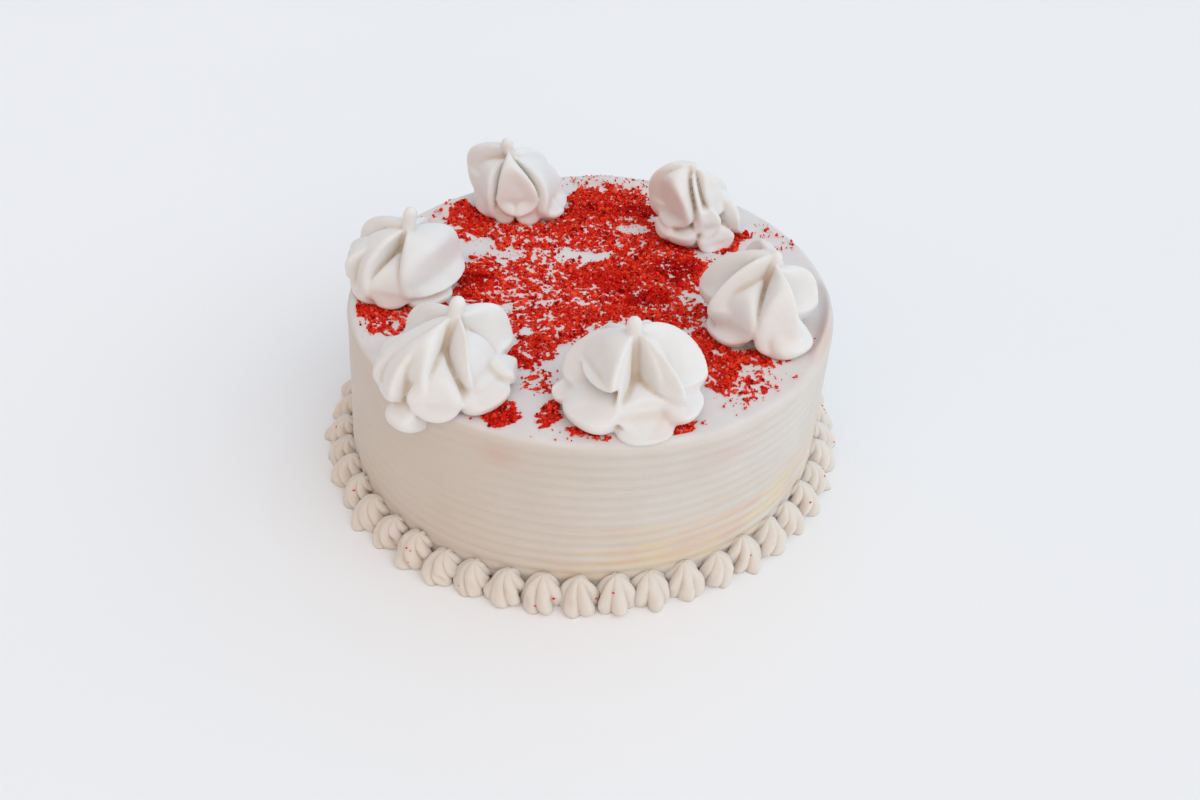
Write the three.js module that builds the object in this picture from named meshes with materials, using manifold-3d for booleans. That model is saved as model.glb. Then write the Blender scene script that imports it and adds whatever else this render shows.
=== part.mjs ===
// Round frosted layer cake with piped cream: a combed wall, a ring of star shells round the foot,
// six tall swirls on the top, and the largest crumbs fused to the frosting between them.
// Millimetres, +Z up. The foot stands on z = 0, centred on the origin, and the front faces -Y.

import * as THREE from 'three';
import { mergeVertices } from 'three/addons/utils/BufferGeometryUtils.js';
import Module from 'manifold-3d';

// Cake body
const CAKE_HEIGHT = 73;
const TOP_RADIUS = 100;
const FOOT_RADIUS = 103.8;
const TOP_SHIFT = 3.6; // the top sits this far to +X of the foot
const RIM_ROUND = 3.2;
const COMB_RIDGES = 15;
const COMB_DEPTH = 0.55;
const WALL_SEGMENTS = 44;
const WALL_WAVES = [{ count: 2, crest: 315, height: 0.8 }, { count: 3, crest: 300, height: 0.8 }];

// Frosting that swells above the flat top at the rim: bearing from the top's centre, radius, half sizes
const SWELLS = [
  { bearing: 136, radius: 89, along: 9, across: 6.5, rise: 5 },
  { bearing: 85, radius: 92, along: 17, across: 5.5, rise: 2.4 },
];
const SWELL_SINK = 0.4;

// Foot border: drops of cream with twisted lobes; the flat back of each keeps clear of the wall.
// The lobes wind to the left on the left side and to the right on the right side.
const SHELL_COUNT = 48;
const SHELL_RING = 107;
const SHELL_BACK = 104.2;
const SHELL_GIRTH = 7.2;
const SHELL_HEIGHT = 12;
const SHELL_LOBES = 6;
const SHELL_CREASE = 0.24;
const SHELL_TWIST = 110;
const SHELL_TWIST_FROM = 10;
const SHELL_POINT = 0.2;
const SHELL_POINT_WIDTH = 0.45;
const SHELL_DEPTH_SHARE = 0.93;
const SHELL_FOOT_TUCK = 0.12;
const SHELL_TOP_BACK = 2.2;
const SHELL_LEAN = 2.4;
const SHELL_LEAN_BACK = 0.2;
const SHELL_PHASE = 60;
const SHELL_GIRTH_VARY = 0.07;
const SHELL_HEIGHT_LOW = 0.86;
const SHELL_HEIGHT_VARY = 0.2;
const SHELL_SWELL_POWER = 2.2;
const SHELL_SWELL_ROOT = 0.62;
const SHELL_TUCK_POWER = 8;
const SHELL_CREASE_POWER = 0.8;
const SHELL_CLIMBS = [0, 0.3, 0.72, 1];

// Piped swirls: a slim core with thin fins, broad fans, round discs and low lips round it
const SWIRL_SEGMENTS = 45;
const SWIRL_LEVELS = [0, 3, 6.5, 10.5, 15, 19.5, 23.5, 27, 30];
const DROOP_LEVELS = [-12, -9, -5, -2];
const TIP_STEP = 1.2;
const CREASE_SHARPNESS = 14;
const SHOULDER = 27;
const CORE_FOOT = 11;
const CORE_TOP = 20;
const NUB_RADIUS = 2.7;
const NUB_ROUND = 3.5;
const NUB_END_SHARE = 0.2;
const FOOT_ROUND = 2.4;
const FIN_EDGE = 8;
const FIN_POWER = 0.9;
const FIN_HOLLOW = 1.7;
const DISC = { hollow: 0.07, bowl: 0.82, plain: 2, taper: 0.4 };
const FAN = { hollow: 0.2, bowl: 0.85, middle: 0.4, half: 0.48, edge: 5 };
const LIP = { hollow: 0.14, bowl: 0.8, middle: 0.55, half: 0.45, edge: 3.2 };
const CUT_GAP = 0.3;

// Crumbs
const CRUMB_COUNT = 40;
const CRUMB_SMALL = 1.3;
const CRUMB_LARGE = 2.7;
const CRUMB_CLEAR = 3.2;
const CRUMB_FLAT = 0.75;
const CRUMB_NARROW = 0.7;
const CRUMB_TILT = 0.4;
const CRUMB_LIFT = 0.2;
const CRUMB_CHECK_HEIGHTS = [0, 4, 8];

// Seeded disorder
const SEED = 7;
const DRAW_STEP = 12.9898;
const DRAW_JUMP = 78.233;
const DRAW_SCATTER = 43758.5453;

// Each swirl: where its middle stands, how its nub leans and how high the nub ends.
// Each petal: kind, bearing and half width in degrees, reach from the middle, the heights where it
// starts, is widest and ends, how far its bearing turns on the way up, and how blunt its shoulder is.
// A fin is a sharp ridge with hollow flanks, a fan a broad dished petal, a disc a round dished one
// and a lip a low fold at the foot.
const SWIRLS = [
  {
    name: 'swirl_back_left', at: [-32, 67], lean: [-4, 0], tip: 33.5,
    petals: [
      ['fin', 156, 66, 25.5, -4, 15, 30.5, 0, 2.1], ['fan', 204, 36, 22, -3, 9, 25, -8, 2.2],
      ['disc', 274, 36, 18.5, 4.5, 14.5, 28.5, 0, 4], ['disc', 251, 22, 20, -1.5, 5.5, 12.5, 0, 3],
      ['disc', 292, 25, 21, -1.5, 5.5, 12.5, 0, 3], ['fan', 348, 46, 25, 0, 7, 25, 20, 1.8],
      ['lip', 326, 18, 24, -2, 4, 11, 0, 1.8], ['fin', 55, 60, 23, -1, 10, 27, 0, 2],
      ['fin', 105, 50, 23, -1, 11, 28, 0, 2], ['lip', 90, 60, 22, -2, 3, 10, 0, 1.6],
    ],
  },
  {
    name: 'swirl_back_right', at: [50.5, 46], lean: [-4.5, 0], tip: 34,
    petals: [
      ['fin', 166, 62, 23, 2, 15, 36, 15, 1.9], ['disc', 212, 50, 21.5, 6, 16, 32, 0, 3],
      ['lip', 226, 44, 20, -1, 6, 13, 0, 2], ['disc', 280, 30, 17.5, 5.5, 12, 20, 0, 2.6],
      ['disc', 316, 36, 13, 12, 21, 32, 0, 3], ['fin', 268, 24, 12.5, 10, 18, 30, 0, 2],
      ['disc', 298, 36, 21, -2.5, 4, 11, 0, 2.8], ['disc', 4, 36, 21.5, 0, 10, 21.5, 0, 3],
      ['fin', 45, 46, 19, -1, 10, 29, 0, 2], ['fin', 102, 50, 20, -1, 10, 29, 0, 1.6],
      ['lip', 70, 90, 19.5, -2, 3, 10, 0, 1.6],
    ],
  },
  {
    name: 'swirl_left', at: [-73.5, 1], lean: [4, 2], tip: 34,
    petals: [
      ['fin', 146, 52, 24, 0, 14, 27.5, 0, 2.4], ['fan', 182, 22, 26, 1, 12, 21, 0, 2.2],
      ['fan', 209, 32, 25.5, -3, 7, 25.5, -14, 1.9], ['fan', 333, 62, 26.5, 3, 12, 25.5, 0, 2.4],
      ['fin', 70, 60, 24, -1, 9, 26, 0, 2], ['fin', 112, 50, 24, -1, 9, 26, 0, 2],
      ['disc', 259, 29, 25.5, 0, 8.5, 17.5, 0, 2.8], ['lip', 308, 36, 25, -2, 4, 10, 0, 1.8],
      ['lip', 240, 40, 21, -2, 2, 8, 0, 1.8], ['lip', 80, 70, 23, -2, 3, 10, 0, 1.6],
    ],
  },
  {
    name: 'swirl_front_left', at: [-49, -64], lean: [5.5, 4], tip: 34.5, droops: true,
    petals: [
      ['fin', 132, 52, 24, -1, 13, 28, 0, 2.2], ['fan', 180, 20, 27.5, 1, 9, 21, 0, 1.8],
      ['fan', 205, 24, 27.5, 0, 7, 28, 0, 1.6], ['disc', 230, 30, 22.5, 3, 12, 27.5, 0, 3],
      ['lip', 228, 22, 27, -12.5, -3, 8.5, 0, 2], ['disc', 264, 31, 26, -3, 6.5, 16.5, 0, 2.7],
      ['fin', 288, 14, 13.5, 5, 14, 30, 0, 1.8], ['fin', 304, 18, 19.5, 4, 12, 29, 0, 1.6],
      ['fin', 28, 62, 26.5, 4, 12, 28, 15, 2.4], ['fan', 332, 36, 20.5, 5, 11, 23, 0, 1.8],
      ['disc', 358, 17, 28, 1, 7, 13, 0, 3], ['lip', 320, 36, 26.5, -3, 4, 11.5, 0, 1.7],
      ['fin', 75, 50, 23, -1, 9, 28, 0, 2], ['fin', 108, 45, 22, -1, 9, 27, 0, 2],
      ['lip', 85, 70, 23, -2, 3, 10, 0, 1.6],
    ],
  },
  {
    name: 'swirl_front', at: [18.3, -72.5], lean: [0, 2], tip: 34.5,
    petals: [
      ['fin', 168, 86, 26, -1, 9, 28.5, -20, 1.8], ['fin', 252, 22, 18.5, 2, 10, 29.5, 0, 1.4],
      ['fin', 322, 26, 23, 3, 12.5, 30, 0, 1.5], ['fin', 8, 60, 27.5, -1, 10, 30, 32, 1.9],
      ['fin', 70, 60, 25, -1, 9, 28, 0, 2], ['fin', 120, 60, 25, -1, 9, 27, 0, 2],
      ['lip', 221, 38, 27.5, -3, 5, 14.5, 0, 1.7], ['disc', 285, 40, 22, 1, 7.5, 12.5, 0, 5],
      ['lip', 284, 38, 25.5, -4, 0.5, 6, 0, 2], ['lip', 336, 32, 26.5, -2, 4.5, 12.5, 0, 1.8],
      ['lip', 186, 16, 28.7, 0, 5, 10, 0, 2], ['lip', 90, 80, 24, -2, 3, 10, 0, 1.6],
      ['fan', 200, 50, 17, 2, 12, 29, 0, 1.7], ['fan', 346, 38, 16.5, 4, 14, 29, 0, 1.6],
    ],
  },
  {
    name: 'swirl_right', at: [69.5, -27], lean: [3, 1], tip: 34.5,
    petals: [
      ['fin', 118, 44, 17.5, 4, 20, 36, 0, 2.6], ['fin', 158, 72, 25.5, 2, 14, 34, 0, 2],
      ['fin', 200, 44, 23, 4, 14, 34, 0, 1.8], ['disc', 226, 36, 22.5, 2, 11, 24, 0, 3],
      ['lip', 208, 40, 22, -2, 4, 11, 0, 1.7], ['disc', 285, 32, 23.5, -1, 8, 30, 0, 3],
      ['lip', 306, 36, 24.5, -3, 3, 15, 0, 1.7], ['fin', 12, 58, 23.5, 0, 10, 27, 10, 2.4],
      ['fin', 60, 50, 22, -1, 9, 27, 0, 2], ['lip', 80, 80, 21, -2, 3, 10, 0, 1.6],
    ],
  },
];

// Where crumbs lie on the top: middle, half sizes and share of the crumbs
const CRUMB_PATCHES = [
  { at: [0, 10], size: [44, 58], share: 0.5 },
  { at: [30, 8], size: [16, 24], share: 0.16 },
  { at: [11, 76], size: [20, 10], share: 0.08 },
  { at: [-74, -30], size: [13, 6], share: 0.05 },
  { at: [62, -58], size: [18, 9], share: 0.1 },
  { at: [-24, -80], size: [9, 7], share: 0.06 },
  { at: [38, -86], size: [8, 5], share: 0.05 },
];

const DIAGONAL_MARGIN = 0.2;
const radians = THREE.MathUtils.degToRad;

// A repeatable draw from 0 to 1 for piece number `index` and purpose `channel`.
function draw(index, channel) {
  const value = Math.sin(index * DRAW_STEP + channel * DRAW_JUMP + SEED) * DRAW_SCATTER;
  return value - Math.floor(value);
}

// Keeps only positions, merges shared vertices and drops triangles that have closed up.
function weld(geometry) {
  geometry.deleteAttribute('normal');
  geometry.deleteAttribute('uv');
  const merged = mergeVertices(geometry, 1e-4);
  const index = [];
  for (let corner = 0; corner < merged.index.count; corner += 3) {
    const [a, b, c] = [0, 1, 2].map((step) => merged.index.getX(corner + step));
    if (a !== b && b !== c && c !== a) {
      index.push(a, b, c);
    }
  }
  merged.setIndex(index);
  return merged;
}

// A closed skin of rings from `levels[0]` up: place(bearing, level) gives a point on the ring, and
// place(null, level) the point on the axis that closes each end.
function ringSkin(levels, segments, place) {
  const last = levels.length - 1;
  const profile = [new THREE.Vector2(0, levels[0])];
  levels.forEach((level) => profile.push(new THREE.Vector2(1, level)));
  profile.push(new THREE.Vector2(0, levels[last]));
  const geometry = new THREE.LatheGeometry(profile, segments);
  geometry.rotateX(Math.PI / 2);
  const position = geometry.getAttribute('position');
  const reach = [];
  for (let point = 0; point < position.count; point += 1) {
    const [x, y, level] = [position.getX(point), position.getY(point), position.getZ(point)];
    const bearing = Math.hypot(x, y) > 0.5 ? Math.atan2(y, x) : null;
    const placed = place(bearing, level);
    reach.push(placed.distanceTo(place(null, level)));
    position.setXYZ(point, placed.x, placed.y, placed.z);
  }
  turnDiagonals(geometry.index, reach);
  return weld(geometry);
}

// Turns the diagonal of each quad to join the two corners that stand further out, so that a ridge
// that winds up the skin stays whole.
function turnDiagonals(index, reach) {
  for (let quad = 0; quad < index.count; quad += 6) {
    const [a, b, d, c] = [0, 1, 2, 3].map((corner) => index.getX(quad + corner));
    if (reach[a] + reach[c] > reach[b] + reach[d] + DIAGONAL_MARGIN) {
      [a, b, c, c, d, a].forEach((point, corner) => index.setX(quad + corner, point));
    }
  }
}

// Cake body ---------------------------------------------------------------------------------------

function wallWave(bearing) {
  return WALL_WAVES.reduce(
    (sum, wave) => sum + wave.height * Math.cos(wave.count * (bearing - radians(wave.crest))), 0);
}

// Levels of the wall: a crest and a groove for each comb ridge, then the round of the rim.
function wallLevels() {
  const combed = CAKE_HEIGHT - RIM_ROUND;
  const step = combed / (2 * COMB_RIDGES);
  const levels = [];
  for (let half = 0; half <= 2 * COMB_RIDGES; half += 1) {
    levels.push({ height: half * step, inset: half % 2 === 0 ? 0 : COMB_DEPTH });
  }
  for (const degrees of [45, 90]) {
    const turn = radians(degrees);
    levels.push({
      height: combed + RIM_ROUND * Math.sin(turn),
      inset: RIM_ROUND * (1 - Math.cos(turn)),
    });
  }
  return levels;
}

function cakeSkin(clearance) {
  const levels = wallLevels();
  const place = (bearing, level) => {
    const { height, inset } = levels[Math.round(level)];
    const rise = height / CAKE_HEIGHT;
    const middle = TOP_SHIFT * rise;
    if (bearing === null) {
      return new THREE.Vector3(middle, 0, height);
    }
    const flare = THREE.MathUtils.lerp(FOOT_RADIUS, TOP_RADIUS, rise);
    const radius = flare - inset + wallWave(bearing) * rise + clearance;
    return new THREE.Vector3(middle + radius * Math.cos(bearing), radius * Math.sin(bearing), height);
  };
  return ringSkin(levels.map((entry, number) => number), WALL_SEGMENTS, place);
}

// Swirls ------------------------------------------------------------------------------------------

function within(value) {
  return THREE.MathUtils.clamp(value, 0, 1);
}

// Falls from 1 at share 0 to 0 at share 1, the blunter the higher the power.
function bulge(share, power) {
  return within(1 - within(share) ** power) ** (1 / power);
}

function petalRadius(petal, bearing, height) {
  const [kind, facing, half, reach, foot, belly, top, twist, blunt] = petal;
  const above = within((height - belly) / (top - belly));
  const below = within((belly - height) / (belly - foot));
  const turned = bearing - radians(facing + twist * above);
  const aside = Math.abs(Math.atan2(Math.sin(turned), Math.cos(turned))) / radians(half);
  if (kind === 'disc') {
    const away = Math.hypot(aside, above + below);
    const dish = within(1 - (away / DISC.bowl) ** 3) * (blunt - DISC.plain);
    return reach * bulge(away, blunt) * (1 - DISC.hollow * dish) * (1 - DISC.taper * above ** 1.5);
  }
  const flanks = { fin: finFlank, fan: fanFlank, lip: lipFlank };
  const side = flanks[kind](aside, above, below, half);
  return reach * side * bulge(above, blunt) * bulge(below, FOOT_ROUND);
}

function finFlank(aside, above, below, half) {
  const edge = FIN_EDGE / half;
  return within(1 + edge - Math.hypot(aside, edge)) ** (FIN_POWER + FIN_HOLLOW * 4 * above * (1 - above));
}

function fanFlank(aside, above, below) {
  const rise = Math.abs(above - below - FAN.middle) / FAN.half;
  const dish = within(1 - (aside / FAN.bowl) ** 4) * within(1 - rise ** 3);
  return bulge(aside, FAN.edge) * (1 - FAN.hollow * dish);
}

function lipFlank(aside, above) {
  const rise = (above - LIP.middle) / LIP.half;
  const dish = within(1 - (aside / LIP.bowl) ** 2) * within(1 - rise ** 2);
  return bulge(aside, LIP.edge) * (1 - LIP.hollow * dish);
}

function coreRadius(swirl, height) {
  const cone = NUB_RADIUS + CORE_FOOT * (1 - within(height / CORE_TOP)) ** 2;
  const nearTip = within((height - swirl.tip + NUB_ROUND) / NUB_ROUND);
  return cone * Math.sqrt(Math.max(NUB_END_SHARE ** 2, 1 - nearTip ** 2));
}

// How far the swirl's skin stands from its middle line; petals meet in creases.
function swirlRadius(swirl, bearing, height) {
  const sum = swirl.petals.reduce(
    (total, petal) => total + petalRadius(petal, bearing, height) ** CREASE_SHARPNESS,
    coreRadius(swirl, height) ** CREASE_SHARPNESS);
  return sum ** (1 / CREASE_SHARPNESS);
}

function swirlSkin(swirl) {
  const low = swirl.droops ? DROOP_LEVELS : [];
  const levels = [...low, ...SWIRL_LEVELS, swirl.tip - TIP_STEP, swirl.tip];
  const place = (bearing, height) => {
    const lean = THREE.MathUtils.smoothstep(height, SHOULDER / 2, swirl.tip);
    const radius = bearing === null ? 0 : swirlRadius(swirl, bearing, height);
    return new THREE.Vector3(
      swirl.lean[0] * lean + radius * Math.cos(bearing ?? 0),
      swirl.lean[1] * lean + radius * Math.sin(bearing ?? 0),
      height);
  };
  return ringSkin(levels, SWIRL_SEGMENTS, place);
}

// Crumbs ------------------------------------------------------------------------------------------

function clearOfSwirls(x, y) {
  return SWIRLS.every((swirl) => {
    const [dx, dy] = [x - swirl.at[0], y - swirl.at[1]];
    const bearing = Math.atan2(dy, dx);
    const reaches = CRUMB_CHECK_HEIGHTS.map((height) => swirlRadius(swirl, bearing, height));
    return Math.hypot(dx, dy) > Math.max(...reaches) + CRUMB_CLEAR;
  });
}

// The largest crumbs, spread over each patch by a spiral with a little disorder.
function crumbSkins() {
  const skins = [];
  const goldenTurn = Math.PI * (3 - Math.sqrt(5));
  CRUMB_PATCHES.forEach((patch, number) => {
    const count = Math.round(CRUMB_COUNT * patch.share);
    for (let item = 0; item < count; item += 1) {
      const key = number * 100 + item;
      const spread = Math.sqrt((item + 0.5) / count);
      const turn = item * goldenTurn + draw(key, 1);
      const x = patch.at[0] + patch.size[0] * spread * Math.cos(turn);
      const y = patch.at[1] + patch.size[1] * spread * Math.sin(turn);
      const size = THREE.MathUtils.lerp(CRUMB_SMALL, CRUMB_LARGE, draw(key, 2) ** 2);
      if (clearOfSwirls(x, y)) {
        const skin = new THREE.IcosahedronGeometry(size, 0);
        skin.scale(1, THREE.MathUtils.lerp(CRUMB_NARROW, 1, draw(key, 3)), CRUMB_FLAT);
        skin.rotateZ(draw(key, 4) * Math.PI);
        skin.rotateX(CRUMB_TILT * draw(key, 5));
        skin.translate(x, y, CAKE_HEIGHT + CRUMB_LIFT * size);
        skins.push(weld(skin));
      }
    }
  });
  return skins;
}

function swellSkin(swell) {
  const skin = new THREE.SphereGeometry(1, 12, 8);
  skin.scale(swell.across, swell.along, swell.rise);
  skin.rotateZ(radians(swell.bearing));
  skin.translate(
    TOP_SHIFT + swell.radius * Math.cos(radians(swell.bearing)),
    swell.radius * Math.sin(radians(swell.bearing)),
    CAKE_HEIGHT - SWELL_SINK);
  return weld(skin);
}

// Foot border -------------------------------------------------------------------------------------

// One drop: lobes that twist on the way up to a blunt tip, and a longer lobe pointing outward.
function shellSkin(number) {
  const onAxis = number % (SHELL_COUNT / 4) === 0;
  const vary = (channel) => (onAxis ? 1 : draw(number, channel));
  const girth = SHELL_GIRTH * (1 - SHELL_GIRTH_VARY + SHELL_GIRTH_VARY * vary(6));
  const tall = SHELL_HEIGHT * (SHELL_HEIGHT_LOW + SHELL_HEIGHT_VARY * draw(number, 7));
  const sideways = SHELL_LEAN * (draw(number, 8) - SHELL_LEAN_BACK);
  const phase = onAxis ? 0 : SHELL_PHASE * draw(number, 9);
  const facing = (2 * Math.PI * number) / SHELL_COUNT;
  const twist = SHELL_TWIST * Math.cos(facing - radians(SHELL_TWIST_FROM));
  const place = (lobeBearing, step) => {
    const climb = SHELL_CLIMBS[Math.round(step)];
    const middle = SHELL_RING - SHELL_TOP_BACK * climb ** 2;
    const lean = sideways * climb ** 1.5;
    if (lobeBearing === null) {
      return new THREE.Vector3(middle, lean, tall * climb);
    }
    const turn = lobeBearing + radians(twist * climb + phase);
    const bearing = Math.atan2(Math.sin(turn), Math.cos(turn));
    const tuck = SHELL_FOOT_TUCK * (1 - climb) ** SHELL_TUCK_POWER;
    const swell = (1 - climb ** SHELL_SWELL_POWER) ** SHELL_SWELL_ROOT * (1 - tuck);
    const ridge = Math.abs(Math.cos((SHELL_LOBES * lobeBearing) / 2)) ** SHELL_CREASE_POWER;
    const point = SHELL_POINT * Math.exp(-((bearing / SHELL_POINT_WIDTH) ** 2)) * (1 - climb) ** 3;
    const radius = girth * swell * (1 - SHELL_CREASE * (1 - ridge)) * (1 + point);
    return new THREE.Vector3(
      Math.max(SHELL_BACK, middle + radius * Math.cos(bearing) * SHELL_DEPTH_SHARE),
      lean + radius * Math.sin(bearing),
      tall * climb);
  };
  return ringSkin(SHELL_CLIMBS.map((climb, step) => step), 2 * SHELL_LOBES, place);
}

// Joining -----------------------------------------------------------------------------------------

const wasm = await Module();
wasm.setup();

function toSolid(geometry) {
  return new wasm.Manifold(new wasm.Mesh({
    numProp: 3,
    vertProperties: Float32Array.from(geometry.getAttribute('position').array),
    triVerts: Uint32Array.from(geometry.index.array),
  }));
}

function toGeometry(solid) {
  const mesh = solid.getMesh();
  const geometry = new THREE.BufferGeometry();
  geometry.setAttribute('position', new THREE.BufferAttribute(mesh.vertProperties, 3));
  geometry.setIndex(new THREE.BufferAttribute(mesh.triVerts, 1));
  return geometry;
}

function cakeGeometry() {
  const additions = [...SWELLS.map(swellSkin), ...crumbSkins()];
  const joined = additions.reduce((solid, skin) => solid.add(toSolid(skin)), toSolid(cakeSkin(0)));
  return toGeometry(joined);
}

function swirlGeometry(swirl) {
  const skin = swirlSkin(swirl);
  if (!swirl.droops) {
    return skin;
  }
  const [x, y] = swirl.at;
  skin.translate(x, y, CAKE_HEIGHT);
  const geometry = toGeometry(toSolid(skin).subtract(toSolid(cakeSkin(CUT_GAP))));
  geometry.translate(-x, -y, -CAKE_HEIGHT);
  return geometry;
}

// Scene graph -------------------------------------------------------------------------------------

const frosting = () => new THREE.MeshStandardMaterial({ color: 0xece7e0, roughness: 0.55, metalness: 0 });
const cream = () => new THREE.MeshStandardMaterial({ color: 0xf2efea, roughness: 0.5, metalness: 0 });

function addMesh(group, name, geometry, material) {
  const mesh = new THREE.Mesh(geometry, material);
  mesh.name = name;
  group.add(mesh);
  return mesh;
}

const part = new THREE.Group();
addMesh(part, 'cake', cakeGeometry(), frosting());

for (const swirl of SWIRLS) {
  const mesh = addMesh(part, swirl.name, swirlGeometry(swirl), cream());
  mesh.position.set(swirl.at[0], swirl.at[1], CAKE_HEIGHT);
}

for (let number = 0; number < SHELL_COUNT; number += 1) {
  const name = `border_shell_${String(number + 1).padStart(2, '0')}`;
  const mesh = addMesh(part, name, shellSkin(number), cream());
  mesh.rotation.z = (2 * Math.PI * number) / SHELL_COUNT;
}

export default part;
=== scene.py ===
# Looks of the frosted red velvet cake, built over its solids. Metres, +Z up, front at -Y.
import math

import bmesh
import bpy
import numpy as np
from mathutils import Euler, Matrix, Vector


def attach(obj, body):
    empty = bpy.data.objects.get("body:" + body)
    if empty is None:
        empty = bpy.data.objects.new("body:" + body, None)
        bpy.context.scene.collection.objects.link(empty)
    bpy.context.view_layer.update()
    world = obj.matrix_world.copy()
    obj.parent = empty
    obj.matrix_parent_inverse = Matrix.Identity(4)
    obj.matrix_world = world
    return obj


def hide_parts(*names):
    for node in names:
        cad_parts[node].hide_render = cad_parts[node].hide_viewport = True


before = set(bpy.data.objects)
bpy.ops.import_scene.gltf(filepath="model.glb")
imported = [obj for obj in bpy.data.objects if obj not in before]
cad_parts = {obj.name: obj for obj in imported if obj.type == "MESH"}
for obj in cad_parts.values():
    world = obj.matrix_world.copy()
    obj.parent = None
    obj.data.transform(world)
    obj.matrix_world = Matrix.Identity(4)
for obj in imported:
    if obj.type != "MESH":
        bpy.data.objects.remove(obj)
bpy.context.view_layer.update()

MM = 0.001
SEED = 7

# Camera: solved from the photograph's view
CAMERA_PLACE = (0.00419, -0.35837, 0.31063)
CAMERA_TURN = (50.15, -1.01, 0.28)
CAMERA_LENS = 30.75
CAMERA_SENSOR = 36

# Light: a soft sky whose red, green and blue each brighten towards a side of their own, and a key
SKY_BASE = (0.637, 0.621, 0.603)
SKY_TILTS = [(0.128, -0.211, 0.297), (0.226, -0.061, 0.334), (0.277, 0.064, 0.39)]
KEY_SIDE = (0.64, -0.42, 0.64)
KEY_STRENGTH = 0.45
KEY_ANGLE = 50
KEY_COLOUR = (0.9, 0.96, 1.0)
FLOOR_HALF = 4.0

# Colours; a list is a ramp of places from 0 to 1 and the colour at each
CREAM_TONES = [(0.3, (0.775, 0.765, 0.755)), (0.7, (0.815, 0.815, 0.815))]
# Painted shade in the cream's creases and hollows; on the shells it also stands for a painted warm
# reflection
CREAM_SHADE_AND_REFLECTION = (0.68, 0.56, 0.44)
# Painted red reflection of the crumbs on the feet of the swirls
CREAM_RED_REFLECTION = (0.78, 0.42, 0.34)
WALL_TONES = [(0.3, (0.67, 0.63, 0.585)), (0.7, (0.71, 0.68, 0.645))]
WALL_SHADE = (0.64, 0.54, 0.45)
# Colour of the pink blushes on the wall and of the painted shade on the rim's lip
WALL_BLUSH_AND_LIP_SHADE = (0.68, 0.36, 0.32)
# Painted warm reflection, streaked, low on the front-right wall
PEACH_REFLECTION_TONES = [(0.35, (0.74, 0.50, 0.41)), (0.6, (0.76, 0.62, 0.40))]
PEACH_REFLECTION_STREAKS = [(0.42, (0, 0, 0)), (0.62, (1, 1, 1))]
TOP_TONES = [(0.35, (0.71, 0.655, 0.645)), (0.65, (0.75, 0.725, 0.715))]
TOP_ROSY = (0.72, 0.44, 0.40)
STAIN_TONES = [(0.35, (0.55, 0.010, 0.007)), (0.6, (0.86, 0.032, 0.016))]
STAIN_EDGE = [(0.86, (0, 0, 0)), (0.98, (1, 1, 1))]
CRUMB_TONES = [(0.25, (0.20, 0.002, 0.003)), (0.45, (0.68, 0.010, 0.006)),
               (0.8, (0.93, 0.035, 0.014)), (1.0, (0.96, 0.10, 0.045))]
FLOOR_TONES = [(0.3, (0.89, 0.895, 0.91)), (0.7, (0.91, 0.915, 0.93))]

# How far light spreads inside the cream and the frosting, and how they shine
SOFT_SHARE = 0.3
SOFT_RADII = (1.0, 0.72, 0.5)
SOFT_SCALE = 0.004
SOFT_INDEX = 1.42
SOFT_SHINE = 0.35

# Cake body, in millimetres and degrees. Wall waves: count, crest bearing, height.
# Swells on the top: bearing, radius, half length, half width, rise.
CAKE_HEIGHT = 73.0
TOP_RADIUS = 100.0
FOOT_RADIUS = 103.8
TOP_SHIFT = 3.6
RIM_ROUND = 3.2
WALL_WAVES = [(2, 315, 0.8), (3, 300, 0.8)]
SWELLS = [(136, 89, 9, 6.5, 5), (85, 92, 17, 5.5, 2.4)]
SWELL_ROUND = 0.7
CAKE_AROUND = 420
RIM_TURNS = (12, 90, 7)
TOP_SHARES = (1, 0.004, 124)
RELIEF_FADE = (101, 95)

# Combed rings of the wall, fainter on the left
COMB_RIDGES = 15
COMB_ROWS = 7
COMB_DEPTH = 0.48
COMB_SHARPNESS = 1.4
COMB_FAINT_SIDE = 200
COMB_FAINT_EDGE = (-1.0, -0.2)
COMB_FAINT_SHARE = 0.45

# Lip of frosting that stands up from the rim on the right
RIM_LIP_BEARING = -12
RIM_LIP_SPAN = 17
RIM_LIP_RISE = 4.2
RIM_LIP_RING = 97.2
RIM_LIP_WIDTH = 2.0
RIM_LIP_SQUARE = 2.5

# Layers of noise: height, size in millimetres, seed
COMB_DRIFT_NOISE = [(0.45, 32, 31)]
COMB_DEPTH_NOISE = [(0.35, 18, 32)]
WALL_NOISE = [(0.12, 9, 33)]
TOP_NOISE = [(0.18, 24, 21), (0.07, 7, 22)]
FRAY_NOISE = [(0.2, 8, 11), (0.16, 3, 12)]
CLUMP_NOISE = [(0.3, 3.6, 13), (0.6, 1.6, 14), (0.6, 0.9, 16)]
DARK_NOISE = [(0.3, 4, 15)]

# Where the frosting's tints, painted shade and painted reflection lie: bands of height and bearing, each
# from none to full
TOP_BAND = (CAKE_HEIGHT - 1.5, CAKE_HEIGHT - 0.2)
STAIN_EVEN = 0.12
# Painted shade on the raised lip at the rim, in the blush colour
LIP_SHADE_BEARING = -20
LIP_SHADE_SPAN = 13
LIP_SHADE_RING = (88, 95)
LIP_SHADE_SHARE = 0.3
# Painted warm reflection low on the front-right wall
PEACH_REFLECTION_SHARE = 0.75
PEACH_REFLECTION_HEIGHTS = (44, 26)
PEACH_REFLECTION_FOOT = (2, 10)
PEACH_REFLECTION_CLIMB = 0.10
PEACH_REFLECTION_CLIMB_FROM = -70
PEACH_REFLECTION_LEFT = (-118, -80)
PEACH_REFLECTION_RIGHT = (0, -18)
SHADE_SHARE = 0.55
SHADE_RIGHT = (-70, -125)
SHADE_LEFT = (-185, -150)

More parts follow.
